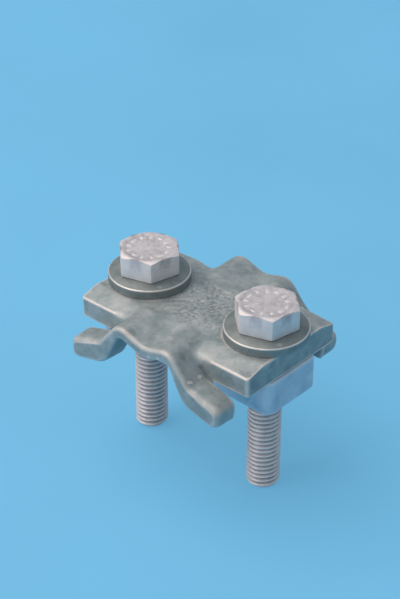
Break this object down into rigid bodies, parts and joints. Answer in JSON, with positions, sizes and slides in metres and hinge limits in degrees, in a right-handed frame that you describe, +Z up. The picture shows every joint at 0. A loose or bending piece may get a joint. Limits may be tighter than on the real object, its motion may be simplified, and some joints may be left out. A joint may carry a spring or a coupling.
{
  "type": "parallel groove clamp",
  "caption": "Forged saddle with wavy horned lips bolted to a tapped bar, gripping parallel round conductors side by side.",
  "frame": {"origin": "midway between the bolts, level with the ends of their shanks", "axes": "+X along the row of bolts, +Y along the conductor grooves, +Z up towards the bolt heads"},
  "size_m": [0.0688, 0.0538, 0.0618],
  "materials": {
    "forged_zinc": "hot-dip galvanised forging, dull",
    "bar_zinc": "hot-dip galvanised rolled bar, dull",
    "bolt_zinc": "hot-dip galvanised bolt, satin",
    "washer_zinc": "hot-dip galvanised washer, satin"
  },
  "bodies": {
    "saddle": {"saddle_plate": "forged_zinc", "washer_left": "washer_zinc", "washer_right": "washer_zinc"},
    "bar": {"threaded_bar": "bar_zinc"},
    "bolt_left": {"bolt_left": "bolt_zinc"},
    "bolt_right": {"bolt_right": "bolt_zinc"}
  },
  "joints": [
    {"name": "bolt_left_turn", "type": "hinge", "parent": "saddle", "child": "bolt_left", "pos_m": [-0.02225, 0, 0.05], "axis": [0, 0, 1], "range_deg": [0, 5761]},
    {"name": "bolt_right_turn", "type": "hinge", "parent": "saddle", "child": "bolt_right", "pos_m": [0.02225, 0, 0.05], "axis": [0, 0, 1], "range_deg": [0, 5761]},
    {"name": "bar_travel", "type": "slide", "parent": "saddle", "child": "bar", "axis": [0, 0, -1], "range_m": [0, 0.024]}
  ],
  "couplings": [
    {"joint": "bolt_left_turn", "follows": "bar_travel", "rad_per_m": 4188.8},
    {"joint": "bolt_right_turn", "follows": "bar_travel", "rad_per_m": 4188.8}
  ]
}
